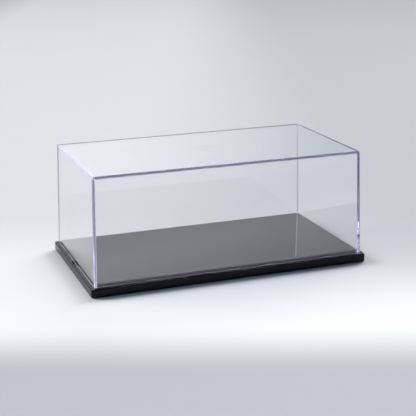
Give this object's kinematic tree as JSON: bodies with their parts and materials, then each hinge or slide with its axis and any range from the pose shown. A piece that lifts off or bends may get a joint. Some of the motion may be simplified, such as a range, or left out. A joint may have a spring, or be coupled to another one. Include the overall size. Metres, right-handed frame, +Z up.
{
  "type": "display case",
  "caption": "Display case for a scale model: a clear drafted cover lifts off a gloss black base with a ledge, a raised polished deck and non-slip feet.",
  "frame": {"origin": "on the surface that the case stands on, under the middle of the base", "axes": "+X along the case, -Y its front, +Z up"},
  "size_m": [0.232, 0.1274, 0.0932],
  "materials": {
    "clear_plastic": "polished",
    "gloss_black": "gloss",
    "deck_black": "polished",
    "foot_rubber": "matte"
  },
  "bodies": {
    "base": {"base_tray": "gloss_black", "display_deck": "deck_black", "foot_front_left": "foot_rubber", "foot_front_right": "foot_rubber", "foot_rear_left": "foot_rubber", "foot_rear_right": "foot_rubber"},
    "cover": {"clear_cover": "clear_plastic"}
  },
  "joints": [
    {"name": "cover_lift", "type": "slide", "parent": "base", "child": "cover", "axis": [0, 0, 1], "range_m": [0, 0.1]}
  ]
}
